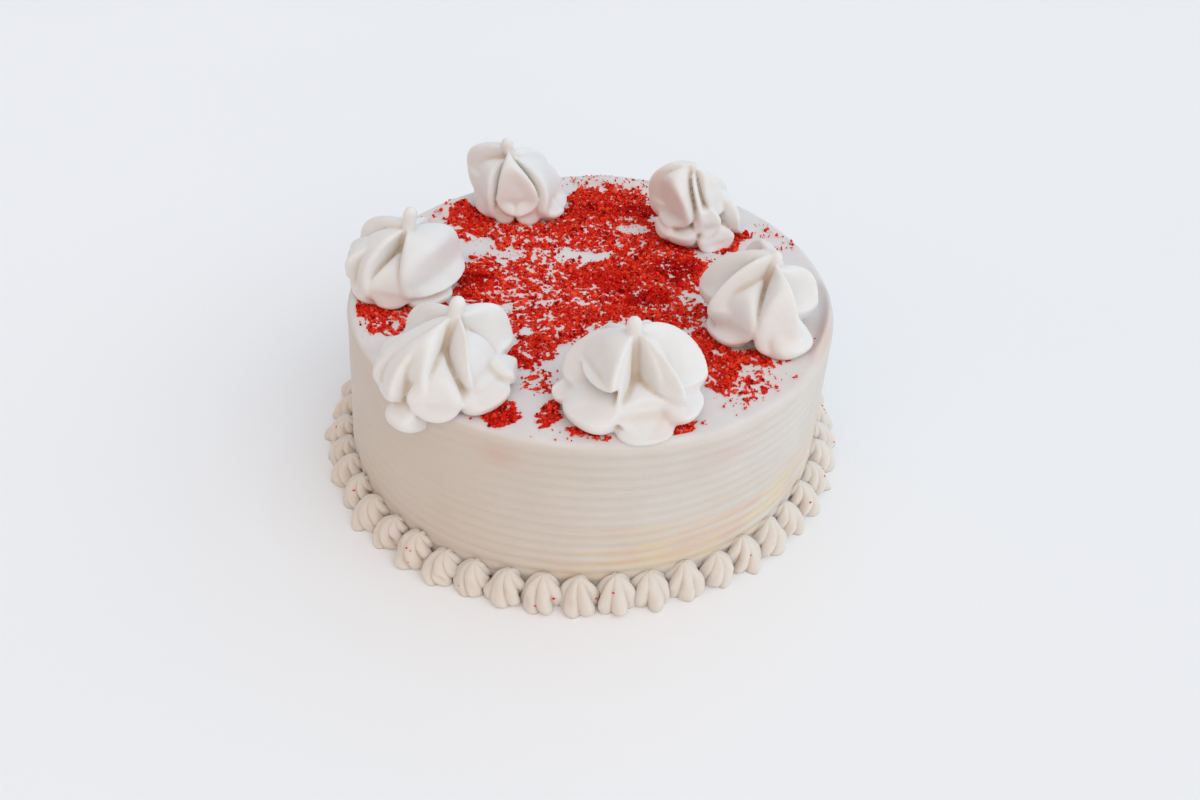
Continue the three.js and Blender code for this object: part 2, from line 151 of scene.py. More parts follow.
# Pink blushes on the wall: bearing, height, half width in degrees, half height, share
BLUSHES = [(-107, 64, 5, 5, 0.35), (-58, 62, 6, 5, 0.22), (-95, 40, 10, 8, 0.05),
           (-14, 48, 9, 26, 0.14)]

# Foot border: drops of cream with twisted lobes, one beside another
SHELL_COUNT = 48
SHELL_RING = 107.0
SHELL_GIRTH = 8.5
SHELL_GIRTH_SPREAD = (0.93, 0.1)
SHELL_HEIGHT = 12.0
SHELL_HEIGHT_SPREAD = (0.86, 0.2)
SHELL_SWAY = 2.4
SHELL_SWAY_MIDDLE = 0.2
SHELL_PHASE = 60
SHELL_LOBES = 6
SHELL_CREASE = 0.24
SHELL_CREASE_ROUND = 0.8
SHELL_TWIST = 110
SHELL_TWIST_FROM = 10
SHELL_POINT = 0.2
SHELL_POINT_WIDTH = 0.45
SHELL_BELLY = 2.2
SHELL_BLUNT = 0.62
SHELL_TUCK = 0.12
SHELL_LEAN = 2.2
SHELL_FLAT = 0.93
SHELL_UNEVEN = 0.16
SHELL_UNEVEN_SIZE = 1.6
SHELL_UNEVEN_SEED = 41
SHELL_AROUND = 96
SHELL_ROWS = 44
SHELL_TOP = 0.985
SHELL_DEEPEN = 0.5
SHELL_DEEPEN_ROUNDS = 30
SHELL_CREASE_SHADE_REACH = 0.9
# Least share of the cream's shade colour on each shell: a painted warm reflection on all, with painted
# shade growing towards the back left
SHELL_PAINTED_REFLECTION = 0.5
SHELL_PAINTED_SHADE_CHANGE = 0.1
SHELL_PAINTED_SHADE_FROM = 0.8

# Stray crumbs on the border
SPECK_COUNT = 42
SPECK_SIZES = (0.8, 1.4)
SPECK_OUT = 2
SPECK_LOWEST = 3
SPECK_HIGHEST = 9
SPECK_TONE = 0.5

# Piped swirls: a slim core with thin fins, broad discs and fans, and low lips round it
CREASE_SHARPNESS = 14
LEAN_FROM = 13.5
CORE_FOOT = 11.0
CORE_TOP = 20.0
NUB_RADIUS = 2.7
NUB_ROUND = 3.5
NUB_LEAST = 0.04
FIN_HOLLOW = 1.7
FIN_THIN = 0.9
FIN_EDGE = 3.2
DISC_TAPER = 0.4
DISC_BOWL = 0.86
DISC_SQUARE = 1.5
FAN_MIDDLE = 0.25
FAN_BOWL = 0.9
FAN_SQUARE = 6
LIP_MIDDLE = 0.55
LIP_HALF = 0.45
LIP_BOWL = 0.8
LIP_SQUARE = 3.2
LIP_HOLLOW = 0.14
BOWL_SHARPNESS = 2.5
DISH_LEAST = 0.08
DISH_FLATTEN = 0.75
DISH_MOST = 0.3
UNDERSIDE_BLUNT = 2.4
SWIRL_AROUND = 480
SWIRL_ROWS = 170
SWIRL_VOXEL = 0.5
SWIRL_RELAX = 0.5
SWIRL_RELAX_ROUNDS = 4
SWIRL_DEEPEN = 0.6
SWIRL_DEEPEN_ROUNDS = 90
SWIRL_CREASE_SHADE_REACH = 1.1
RIDGE_RAISE = 0.2

# Painted red reflection on the foot of a swirl where crumbs lie in front of it
RED_REFLECTION_REACH = 2.5
RED_REFLECTION_HEIGHT = 13.0
RED_REFLECTION_SHARE = 0.2

# Each petal: kind, bearing, half width, reach, the heights where it starts, is widest and ends,
# how far its bearing turns on the way up, and how square its shoulder is
SWIRLS = [
    dict(name="swirl_back_left", at=(-32, 67), lean=(-4, 0), tip=33.5, low=-0.8, petals=[
        ("fin", 156, 66, 25.5, -4, 15, 30.5, 0, 2.1), ("fan", 204, 36, 22, -3, 9, 25, -8, 2.2),
        ("disc", 274, 36, 20.0, 4.0, 11.5, 28.5, 0, 4), ("disc", 251, 22, 20, -1.5, 5.5, 12.5, 0, 3),
        ("disc", 292, 25, 21, -1.5, 5.5, 12.5, 0, 3), ("fan", 348, 46, 25, 0, 7, 25, 20, 1.8),
        ("lip", 326, 18, 24, -2, 4, 11, 0, 1.8), ("fin", 55, 60, 23, -1, 10, 27, 0, 2),
        ("fin", 105, 50, 23, -1, 11, 28, 0, 2), ("lip", 90, 60, 22, -2, 3, 10, 0, 1.6)]),
    dict(name="swirl_back_right", at=(50.5, 46), lean=(-4.5, 0), tip=34, low=-0.8, petals=[
        ("fin", 166, 62, 23, 2, 15, 36, 15, 1.9), ("disc", 210, 48, 21.5, 8, 15.5, 33, 0, 2.6),
        ("disc", 205, 26, 22.5, 2, 7, 13, 0, 2.6),
        ("lip", 226, 44, 20, -1, 6, 13, 0, 2), ("disc", 280, 30, 17.5, 5.5, 12, 20, 0, 2.6),
        ("disc", 316, 36, 13, 12, 21, 32, 0, 3), ("fin", 266, 36, 15.5, 8, 17, 31, 0, 2),
        ("disc", 298, 36, 21, -2.5, 4, 11, 0, 2.8), ("disc", 4, 36, 21.5, 0, 10, 21.5, 0, 3),
        ("fin", 45, 46, 19, -1, 10, 29, 0, 2), ("fin", 102, 50, 20, -1, 10, 29, 0, 1.6),
        ("lip", 70, 90, 19.5, -2, 3, 10, 0, 1.6)]),
    dict(name="swirl_left", at=(-73.5, 1), lean=(4, 2), tip=34, low=-0.8, petals=[
        ("fin", 146, 52, 24, 0, 14, 27.5, 0, 2.4), ("fan", 182, 22, 26, 1, 12, 21, 0, 2.2),
        ("fan", 209, 32, 25.5, -3, 7, 25.5, -14, 1.9), ("fan", 333, 62, 26.5, 3, 12, 25.5, 0, 2.4),
        ("fin", 70, 60, 24, -1, 9, 26, 0, 2), ("fin", 112, 50, 24, -1, 9, 26, 0, 2),
        ("disc", 259, 29, 25.5, 0, 8.5, 17.5, 0, 2.8), ("lip", 308, 36, 25, -2, 4, 10, 0, 1.8),
        ("lip", 240, 40, 21, -2, 2, 8, 0, 1.8), ("lip", 80, 70, 23, -2, 3, 10, 0, 1.6)]),
    dict(name="swirl_front_left", at=(-49, -64), lean=(5.5, 4), tip=34.5, low=-12, petals=[
        ("fin", 132, 52, 24, -1, 13, 28, 0, 2.2), ("fan", 180, 20, 27.5, 1, 9, 21, 0, 1.8),
        ("fan", 205, 24, 27.5, 0, 7, 28, 0, 1.6), ("disc", 230, 30, 22.5, 3, 12, 27.5, 0, 3),
        ("lip", 228, 22, 27, -12.5, -3, 8.5, 0, 2), ("disc", 264, 31, 26, -3, 6.5, 16.5, 0, 2.7),
        ("fin", 304, 24, 19.5, 4, 12, 29, 0, 1.6),
        ("fin", 28, 62, 26.5, 4, 12, 28, 15, 2.4), ("fan", 332, 36, 20.5, 5, 11, 23, 0, 1.8),
        ("disc", 358, 17, 28, 1, 7, 13, 0, 3), ("lip", 320, 36, 26.5, -3, 4, 11.5, 0, 1.7),
        ("fin", 75, 50, 23, -1, 9, 28, 0, 2), ("fin", 108, 45, 22, -1, 9, 27, 0, 2),
        ("lip", 85, 70, 23, -2, 3, 10, 0, 1.6)]),
    dict(name="swirl_front", at=(18.3, -72.5), lean=(0, 2), tip=34.5, low=-0.8, petals=[
        ("fin", 168, 86, 26, -1, 9, 28.5, -20, 1.8), ("fin", 252, 22, 18.5, 2, 10, 29.5, 0, 1.4),
        ("fin", 322, 26, 23, 3, 12.5, 30, 0, 1.5), ("fin", 8, 60, 27.5, -1, 10, 30, 32, 1.9),
        ("fin", 70, 60, 25, -1, 9, 28, 0, 2), ("fin", 120, 60, 25, -1, 9, 27, 0, 2),
        ("lip", 221, 38, 27.5, -3, 5, 14.5, 0, 1.7), ("disc", 285, 40, 22, 1, 7.5, 12.5, 0, 5),
        ("lip", 284, 38, 25.5, -4, 0.5, 6, 0, 2), ("lip", 336, 32, 26.5, -2, 4.5, 12.5, 0, 1.8),
        ("lip", 186, 16, 28.7, 0, 5, 10, 0, 2), ("lip", 90, 80, 24, -2, 3, 10, 0, 1.6),
        ("fan", 205, 46, 20, 13.5, 17, 29, 0, 1.7), ("fan", 346, 38, 16.5, 4, 14, 29, 0, 1.6)]),
    dict(name="swirl_right", at=(69.5, -27), lean=(3, 1), tip=34.5, low=-0.8, petals=[
        ("fin", 118, 44, 17.5, 4, 20, 36, 0, 2.6), ("fin", 158, 72, 25.5, 2, 14, 34, 0, 2),
        ("fin", 200, 44, 23, 4, 14, 34, 0, 1.8), ("disc", 226, 36, 22.5, 2, 11, 24, 0, 3),
        ("lip", 208, 40, 22, -2, 4, 11, 0, 1.7), ("disc", 285, 32, 23.5, -1, 8, 30, 0, 3),
        ("lip", 306, 36, 24.5, -3, 3, 15, 0, 1.7), ("fin", 12, 58, 23.5, 0, 10, 27, 10, 2.4),
        ("fin", 60, 50, 22, -1, 9, 27, 0, 2), ("lip", 80, 80, 21, -2, 3, 10, 0, 1.6)]),
]

# Where crumbs lie: middle x and y, half sizes, turn in degrees, how thick they lie from 0 to 1
CRUMB_PATCHES = [
    (29, 11, 26, 25, 0, 0.82), (27, -17, 24, 11, 0, 0.8), (4, -4, 20, 26, 0, 0.6), (-27, 6, 30, 24, 0, 0.5),
    (-34, 42, 28, 15, 0, 0.68),
    (5, 45, 30, 20, 0, 0.74), (12, 70, 22, 17, 0, 0.86), (-54, 54, 11, 10, 0, 0.85),
    (-48, 4, 9, 15, 0, 0.82), (-72, -17, 24, 8, 0, 0.82), (-76, -30, 8, 9, 20, 0.5),
    (-38, -8, 18, 8, 0, 0.55), (-14, -28, 17, 15, 0, 0.66), (-20, -46, 9, 14, -10, 0.75),
    (-15, -64, 8, 8, 0, 0.5), (-28, -82, 7, 8, 20, 0.95), (-39, -76, 4.5, 2.5, 0, 0.7),
    (-11, -82, 4.5, 8, 0, 0.85), (3, -92, 10, 2.5, -20, 0.55), (51, -48, 8, 22, 8, 0.88),
    (44, -28, 10, 6, 0, 0.5), (68, -47, 13, 5, 0, 0.75), (62, -64, 10, 10, 0, 0.33),
    (34, -91, 12, 4, 38, 0.9), (40, 38, 20, 10, 0, 0.78), (60, 36, 9, 8, 40, 0.75),
    (68, 43, 8, 4, 10, 0.55), (82, 42, 13, 13, 0, 0.16), (8, 93, 26, 10, 0, 0.2),
    (-70, 56, 14, 14, 0, 0.14), (70, -70, 24, 10, 40, 0.1), (-5, -94, 26, 4, 0, 0.07),
    (-84, -24, 12, 16, 0, 0.24), (-35, -88, 14, 6, -20, 0.12), (88, -30, 10, 14, 0, 0.05),
]
BARE_PATCHES = [(19, 47, 9, 5, 0, 0.8), (-46, 30, 7, 9, 0, 0.75), (-22, -33, 3, 3, 0, 0.9),
                (-34, 24, 9, 3, 0, 0.5), (-30, -6, 12, 3, 0, 0.45)]
DARK_PATCHES = [(40, 13, 10, 9, 0, 1), (25, 64, 11, 6, 0, 0.8), (26, -8, 11, 8, 0, 0.8),
                (-46, 3, 8, 5, 0, 0.9), (10, 3, 9, 9, 0, 0.5), (46, 34, 12, 6, 0, 0.5),
                (-28, -84, 6, 6, 0, 0.5)]

# How an even cover turns into clumps, and how high and how finely the crumbs are strewn
PATCH_EDGE = (1.15, 0.75)
THICK_FROM = 0.3
THICK_CLUMPS = (0.42, 0.58)
THIN_CLUMPS = (-0.2, 0.4)
CRUMB_FIELD = 104
CRUMB_TRIES = 60000
CRUMB_SHAPES = 12
CRUMB_FINENESS = 1.8
CRUMB_LIFT = (0.1, 0.4)
CRUMB_PILE = 0.9
CRUMB_DIM = 0.75
PILE_COVER = (0.7, 0.95)
SWIRL_FOOT_HEIGHT = 0.6
SWIRL_FOOT_GAP = 0.4

# Kinds of crumb: name, count, smallest and largest diameter, how finely its lump is cut
CRUMB_KINDS = [
    ("crumbs_dust", 24500, 0.3, 0.6, 0),
    ("crumbs_fine", 9900, 0.5, 0.9, 1),
    ("crumbs_small", 9500, 0.7, 1.3, 1),
    ("crumbs_medium", 1500, 1.1, 2.2, 2),
    ("crumbs_large", 60, 2.2, 3.4, 3),
]


# Small tools ------------------------------------------------------------------------------------

def smooth(low, high, value):
    share = np.clip((value - low) / (high - low), 0, 1)
    return share * share * (3 - 2 * share)


def lattice_noise(points, size, seed):
    """Smooth noise from -1 to 1 at points of shape (n, 3), with features of the given size."""
    cells = 32
    grid = np.random.default_rng(seed).uniform(-1, 1, (cells, cells, cells))
    scaled = np.asarray(points, float) / size
    whole = np.floor(scaled).astype(int)
    part = scaled - whole
    part = part * part * (3 - 2 * part)
    total = np.zeros(len(scaled))
    for corner in np.ndindex(2, 2, 2):
        index = (whole + corner) % cells
        weight = np.prod(np.where(corner, part, 1 - part), axis=1)
        total += weight * grid[index[:, 0], index[:, 1], index[:, 2]]
    return total


def layered_noise(points, layers):
    return sum(height * lattice_noise(points, size, seed) for height, size, seed in layers)


def flat_points(x, y):
    return np.stack([x, y, np.zeros(len(x))], 1)


def new_piece(name, points, faces, material):
    """A smooth mesh object from points in millimetres, riding on the cake's one body."""
    mesh = bpy.data.meshes.new(name)
    mesh.from_pydata((np.asarray(points) * MM).tolist(), [], faces)
    mesh.update()
    mesh.polygons.foreach_set("use_smooth", [True] * len(mesh.polygons))
    piece = bpy.data.objects.new(name, mesh)
    bpy.context.scene.collection.objects.link(piece)
    mesh.materials.append(material)
    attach(piece, "root")
    return piece


def set_share(piece, name, values):
    """Keeps one number for each point, which a material reads by its name."""
    layer = piece.data.attributes.new(name, "FLOAT", "POINT")
    layer.data.foreach_set("value", np.asarray(values).astype(np.float32))


def ring_faces(rings, around):
    """Quads between successive rings of points, and one many-sided face at each end."""
    start = np.arange(around)
    following = (start + 1) % around
    faces = []
    for ring in range(rings - 1):
        low = ring * around
        high = low + around
        quads = np.stack([low + start, low + following, high + following, high + start], 1)
        faces.extend(quads.tolist())
    top = (rings - 1) * around
    faces.append(list(range(around))[::-1])
    faces.append(list(range(top, top + around)))
    return faces


def apply_modifiers(piece):
    graph = bpy.context.evaluated_depsgraph_get()
    mesh = bpy.data.meshes.new_from_object(piece.evaluated_get(graph))
    piece.modifiers.clear()
    piece.data = mesh
    mesh.polygons.foreach_set("use_smooth", [True] * len(mesh.polygons))


def deepen(piece, rounds, share, reach, least=0.0):
    """Deepens the creases and raises the ridges, and keeps how hollow each point lies as the share of
    painted shade, never less than least.
    """
    mesh = piece.data
    count = len(mesh.vertices)
    places = np.zeros(count * 3)
    mesh.vertices.foreach_get("co", places)
    places = places.reshape(-1, 3)
    normals = np.zeros(count * 3)
    mesh.vertices.foreach_get("normal", normals)
    normals = normals.reshape(-1, 3)
    edges = np.zeros(len(mesh.edges) * 2, int)
    mesh.edges.foreach_get("vertices", edges)
    first, second = edges.reshape(-1, 2).T
    near = np.bincount(edges, minlength=count)
    relaxed = places.copy()
    for _ in range(rounds):
        total = np.stack([np.bincount(first, relaxed[second, axis], count)
                          + np.bincount(second, relaxed[first, axis], count) for axis in range(3)], 1)
        relaxed = 0.5 * relaxed + 0.5 * total / near[:, None]
    hollow = ((relaxed - places) * normals).sum(1)
    shift = np.where(hollow > 0, share, RIDGE_RAISE) * hollow
    places -= shift[:, None] * normals
    places[:, 2] = np.maximum(places[:, 2], 0)
    mesh.vertices.foreach_set("co", places.ravel())
    mesh.update()
    # The share of painted shade grows with how hollow a point lies
    set_share(piece, "hollow", least + (1 - least) * smooth(0, reach * MM, hollow))


# Materials --------------------------------------------------------------------------------------

def shader(name):
    material = bpy.data.materials.new(name)
    material.use_nodes = True
    tree = material.node_tree
    return material, tree, tree.nodes["Principled BSDF"]


def add_node(tree, kind, **settings):
    node = tree.nodes.new(kind)
    for key, value in settings.items():
        if key in node.inputs:
            node.inputs[key].default_value = value
        else:
            setattr(node, key, value)
    return node


def math_node(tree, operation, *values):
    """A calculation on plain numbers and on what other nodes give."""
    node = add_node(tree, "ShaderNodeMath", operation=operation)
    for socket, value in zip(node.inputs, values):
        if isinstance(value, float):
            socket.default_value = value
        else:
            tree.links.new(value, socket)
    return node.outputs[0]


def noise_node(tree, scale, detail, roughness=0.5, stretch=None):
    coordinates = add_node(tree, "ShaderNodeTexCoord")
    noise = add_node(tree, "ShaderNodeTexNoise", Scale=scale, Detail=detail, Roughness=roughness)
    output = coordinates.outputs["Object"]
    if stretch:
        mapping = add_node(tree, "ShaderNodeMapping", Scale=stretch)
        tree.links.new(output, mapping.inputs["Vector"])
        output = mapping.outputs["Vector"]
    tree.links.new(output, noise.inputs["Vector"])
    return noise.outputs["Fac"]


def ramp_node(tree, source, stops):
    ramp = add_node(tree, "ShaderNodeValToRGB")
    elements = ramp.color_ramp.elements
    while len(elements) < len(stops):
        elements.new(0.5)
    for element, (position, colour) in zip(elements, stops):
        element.position = position
        element.color = (*colour, 1)
    tree.links.new(source, ramp.inputs["Fac"])
    return ramp.outputs["Color"]


def mix_colour(tree, share, first, second):
    mix = add_node(tree, "ShaderNodeMix", data_type="RGBA")
    tree.links.new(share, mix.inputs["Factor"])
    for socket, value in ((mix.inputs["A"], first), (mix.inputs["B"], second)):
        if isinstance(value, tuple):
            socket.default_value = (*value, 1)
        else:
            tree.links.new(value, socket)
    return mix.outputs["Result"]


def attribute(tree, name):
    node = add_node(tree, "ShaderNodeAttribute", attribute_name=name)
    return node.outputs["Fac"]


def bump_node(tree, height, depth, below=None):
    bump = add_node(tree, "ShaderNodeBump", Strength=1.0, Distance=depth)
    tree.links.new(height, bump.inputs["Height"])
    if below:
        tree.links.new(below, bump.inputs["Normal"])
    return bump.outputs["Normal"]


def vary_gloss(tree, shade, scale, low, high):
    gloss = add_node(tree, "ShaderNodeMapRange")
    tree.links.new(noise_node(tree, scale, 3), gloss.inputs["Value"])
    gloss.inputs["To Min"].default_value = low
    gloss.inputs["To Max"].default_value = high
    tree.links.new(gloss.outputs["Result"], shade.inputs["Roughness"])


def soft_body(shade):
    shade.inputs["Subsurface Weight"].default_value = SOFT_SHARE
    shade.inputs["Subsurface Radius"].default_value = SOFT_RADII
    shade.inputs["Subsurface Scale"].default_value = SOFT_SCALE
    shade.inputs["IOR"].default_value = SOFT_INDEX
    shade.inputs["Specular IOR Level"].default_value = SOFT_SHINE


def cream_material():
    material, tree, shade = shader("piped_cream")
    tone = ramp_node(tree, noise_node(tree, 90, 4), CREAM_TONES)
    # Painted shade in the hollows
    shade_and_reflection = mix_colour(tree, attribute(tree, "hollow"), tone, CREAM_SHADE_AND_REFLECTION)
    # Painted red reflection of nearby crumbs, kept in the rosy share
    shade_and_reflection = mix_colour(tree, attribute(tree, "rosy"), shade_and_reflection, CREAM_RED_REFLECTION)
    tree.links.new(shade_and_reflection, shade.inputs["Base Color"])
    vary_gloss(tree, shade, 260, 0.42, 0.6)
    waves = bump_node(tree, noise_node(tree, 140, 2), 0.00035)
    pores = bump_node(tree, noise_node(tree, 1400, 2), 0.00006, waves)
    tree.links.new(pores, shade.inputs["Normal"])
    soft_body(shade)
    return material


def frosting_material():
    material, tree, shade = shader("combed_frosting")
    tone = ramp_node(tree, noise_node(tree, 45, 4), WALL_TONES)
    streaks = noise_node(tree, 1.0, 3, 0.6, stretch=(18, 18, 420))
    # Painted warm reflection in streaks, where the peach share says
    streak_share = ramp_node(tree, streaks, PEACH_REFLECTION_STREAKS)
    peach_reflection_share = math_node(tree, "MULTIPLY", attribute(tree, "peach_reflection"), streak_share)
    peach_reflection = ramp_node(tree, noise_node(tree, 60, 2), PEACH_REFLECTION_TONES)
    coloured = mix_colour(tree, peach_reflection_share, tone, peach_reflection)
    coloured = mix_colour(tree, attribute(tree, "shade"), coloured, WALL_SHADE)
    # Pink blushes, and painted shade on the rim's lip
    pink = mix_colour(tree, attribute(tree, "blush_and_lip_shade"), coloured, WALL_BLUSH_AND_LIP_SHADE)
    dusted = ramp_node(tree, noise_node(tree, 70, 4), TOP_TONES)
    pink = mix_colour(tree, attribute(tree, "top"), pink, dusted)
    stain = attribute(tree, "stain")
    rosy = mix_colour(tree, stain, pink, TOP_ROSY)
    grain = math_node(tree, "MULTIPLY_ADD", noise_node(tree, 900, 3, 0.7), 0.7, stain)
    red = ramp_node(tree, noise_node(tree, 500, 3, 0.6), STAIN_TONES)
    stained = mix_colour(tree, ramp_node(tree, grain, STAIN_EDGE), rosy, red)
    tree.links.new(stained, shade.inputs["Base Color"])
    vary_gloss(tree, shade, 180, 0.45, 0.65)
    drag = bump_node(tree, noise_node(tree, 1.0, 3, 0.6, stretch=(25, 25, 900)), 0.00025)
    pores = bump_node(tree, noise_node(tree, 1100, 2), 0.00006, drag)
    tree.links.new(pores, shade.inputs["Normal"])
    soft_body(shade)
    return material


def crumb_material():
    material, tree, shade = shader("velvet_crumb")
    grain = math_node(tree, "MULTIPLY_ADD", noise_node(tree, 700, 3, 0.7), 0.5, attribute(tree, "tone"))
    tree.links.new(ramp_node(tree, grain, CRUMB_TONES), shade.inputs["Base Color"])
    shade.inputs["Roughness"].default_value = 0.9
    shade.inputs["Specular IOR Level"].default_value = 0.06
    rough = bump_node(tree, noise_node(tree, 2600, 3, 0.7), 0.0002)
    tree.links.new(rough, shade.inputs["Normal"])
    shade.inputs["Subsurface Weight"].default_value = 0.1
    shade.inputs["Subsurface Radius"].default_value = (1.0, 0.15, 0.1)
    shade.inputs["Subsurface Scale"].default_value = 0.0008
    return material


CREAM = cream_material()
FROSTING = frosting_material()
CRUMB = crumb_material()


# Crumb cover ------------------------------------------------------------------------------------

def patch_cover(patches, x, y, fray):
    """How thickly the patches cover each point, with frayed edges."""
    bare = np.ones(len(x))
    for middle_x, middle_y, half_x, half_y, turn, amount in patches:
        cosine, sine = math.cos(math.radians(turn)), math.sin(math.radians(turn))
        along = (x - middle_x) * cosine + (y - middle_y) * sine
        across = (y - middle_y) * cosine - (x - middle_x) * sine
        distance = np.hypot(along / half_x, across / half_y) + fray
        bare *= 1 - amount * smooth(*PATCH_EDGE, distance)
    return 1 - bare


def crumb_cover(x, y):
    fray = layered_noise(flat_points(x, y), FRAY_NOISE)
    cover = patch_cover(CRUMB_PATCHES, x, y, fray)
    return cover * (1 - patch_cover(BARE_PATCHES, x, y, fray))


def crumb_clumps(x, y, cover):
    """Turns an even cover into clumps with bare gaps, wider where the cover is thin."""
    texture = layered_noise(flat_points(x, y), CLUMP_NOISE)
    thick = smooth(*THICK_CLUMPS, cover + texture)
    thin = cover * smooth(*THIN_CLUMPS, texture)
    return np.where(cover > THICK_FROM, thick, thin)


def inside_rim(x, y):
    return np.hypot(x - TOP_SHIFT, y) < TOP_RADIUS - RIM_ROUND


# Cake body --------------------------------------------------------------------------------------

def wall_wave(bearing):
    return sum(height * np.cos(count * (bearing - math.radians(crest)))
               for count, crest, height in WALL_WAVES)


def top_relief(x, y):
    """Height of the frosting above the flat top: slow waves and the two low swells at the back."""
    relief = layered_noise(flat_points(x, y), TOP_NOISE)
    for bearing, radius, along, across, rise in SWELLS:
        facing = math.radians(bearing)
        dx = x - TOP_SHIFT - radius * math.cos(facing)
        dy = y - radius * math.sin(facing)
        out = (dx * math.cos(facing) + dy * math.sin(facing)) / across
        side = (dy * math.cos(facing) - dx * math.sin(facing)) / along
        share = np.clip(1 - out ** 2 - side ** 2, 0, 1)
        relief = relief + rise * share ** SWELL_ROUND
    return relief


def wall_rows(bearing):
    """Height and inset of each ring of points up the combed wall and round the rim."""
    combed = CAKE_HEIGHT - RIM_ROUND
    pitch = combed / COMB_RIDGES
    fade = smooth(*COMB_FAINT_EDGE, -np.cos(bearing - math.radians(COMB_FAINT_SIDE)))
    depth = COMB_DEPTH * (COMB_FAINT_SHARE + (1 - COMB_FAINT_SHARE) * fade)
    rows = []
    for height in np.linspace(0, combed, COMB_RIDGES * COMB_ROWS + 1):
        spots = np.stack([TOP_RADIUS * np.cos(bearing), TOP_RADIUS * np.sin(bearing),
                          np.full(len(bearing), height)], 1)
        drift = layered_noise(spots, COMB_DRIFT_NOISE)
        wave = 0.5 - 0.5 * np.cos(2 * math.pi * (height + drift) / pitch)
        strength = depth * (1 + layered_noise(spots, COMB_DEPTH_NOISE))
        rows.append((height, wave ** COMB_SHARPNESS * strength + layered_noise(spots, WALL_NOISE)))
    for turn in np.radians(np.linspace(*RIM_TURNS)):
        inset = np.full(len(bearing), RIM_ROUND * (1 - math.cos(turn)))
        rows.append((combed + RIM_ROUND * math.sin(turn), inset))
    return rows


def cake_body():
    bearing = np.linspace(-math.pi, math.pi, CAKE_AROUND, endpoint=False)
    points = []
    for height, inset in wall_rows(bearing):
        rise = height / CAKE_HEIGHT
        radius = FOOT_RADIUS + (TOP_RADIUS - FOOT_RADIUS) * rise - inset + wall_wave(bearing) * rise
        points.append(np.stack([TOP_SHIFT * rise + radius * np.cos(bearing),
                                radius * np.sin(bearing), np.full(CAKE_AROUND, height)], 1))
    edge = TOP_RADIUS - RIM_ROUND + wall_wave(bearing)
    for share in np.linspace(*TOP_SHARES)[1:]:
        points.append(np.stack([TOP_SHIFT + edge * share * np.cos(bearing),
                                edge * share * np.sin(bearing), np.full(CAKE_AROUND, CAKE_HEIGHT)], 1))
    cloud = np.concatenate(points)
    radial = np.hypot(cloud[:, 0] - TOP_SHIFT, cloud[:, 1])
    lift = smooth(CAKE_HEIGHT - 0.5 * RIM_ROUND, CAKE_HEIGHT, cloud[:, 2])
    cloud[:, 2] += top_relief(cloud[:, 0], cloud[:, 1]) * lift * smooth(*RELIEF_FADE, radial)
    off = (np.degrees(np.arctan2(cloud[:, 1], cloud[:, 0])) - RIM_LIP_BEARING) / RIM_LIP_SPAN
    along = np.clip(1 - np.abs(off) ** RIM_LIP_SQUARE, 0, 1)
    cloud[:, 2] += RIM_LIP_RISE * along * np.exp(-((radial - RIM_LIP_RING) / RIM_LIP_WIDTH) ** 2) * lift
    piece = new_piece("cake_frosting", cloud, ring_faces(len(points), CAKE_AROUND), FROSTING)
    paint_cake(piece, cloud)
    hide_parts("cake")


def paint_cake(piece, cloud):
    """Where the top, the stain under the crumbs, the painted warm reflection in streaks, the pink blushes
    with the painted shade on the rim's lip, and the painted shade on the front-left wall lie.
    """
    x, y, z = cloud.T
    bearing = np.degrees(np.arctan2(y, x))
    on_top = smooth(*TOP_BAND, z)
    on_wall = 1 - on_top
    cover = crumb_cover(x, y)
    stain = (STAIN_EVEN * cover + (1 - STAIN_EVEN) * crumb_clumps(x, y, cover)) * on_top
    stain *= inside_rim(x, y)
    # Painted shade on the raised lip at the rim, added to the pink blushes
    lip = np.exp(-((bearing - LIP_SHADE_BEARING) / LIP_SHADE_SPAN) ** 2)
    lip *= smooth(*LIP_SHADE_RING, np.hypot(x - TOP_SHIFT, y))
    # Painted warm reflection low on the front-right wall, and painted shade on the front-left wall
    low_band = smooth(*PEACH_REFLECTION_HEIGHTS, z - PEACH_REFLECTION_CLIMB * (bearing - PEACH_REFLECTION_CLIMB_FROM))
    low_band *= smooth(*PEACH_REFLECTION_FOOT, z)
    peach_reflection = PEACH_REFLECTION_SHARE * on_wall * low_band * smooth(*PEACH_REFLECTION_LEFT, bearing) * smooth(*PEACH_REFLECTION_RIGHT, bearing)
    shade = SHADE_SHARE * on_wall * smooth(*SHADE_RIGHT, bearing) * smooth(*SHADE_LEFT, bearing)
    blush_and_lip_shade = LIP_SHADE_SHARE * lip * on_top
    for facing, height, width, rise, amount in BLUSHES:
        off = ((bearing - facing) / width) ** 2 + ((z - height) / rise) ** 2
        blush_and_lip_shade += amount * np.exp(-off) * on_wall
    set_share(piece, "stain", stain)
    set_share(piece, "peach_reflection", peach_reflection)
    set_share(piece, "blush_and_lip_shade", blush_and_lip_shade)
    set_share(piece, "top", on_top * (1 - lip))
    set_share(piece, "shade", shade)


# Swirls -----------------------------------------------------------------------------------------

def bulge(share, power):
    """Falls from 1 at share 0 to 0 at share 1, the blunter the higher the power."""
    return np.clip(1 - np.clip(share, 0, 1) ** power, 0, 1) ** (1 / power)


def bowl(share, power):
    """1 in the middle of a hollow, falling to 0 at its edge."""
    return np.clip(1 - share ** power, 0, 1)


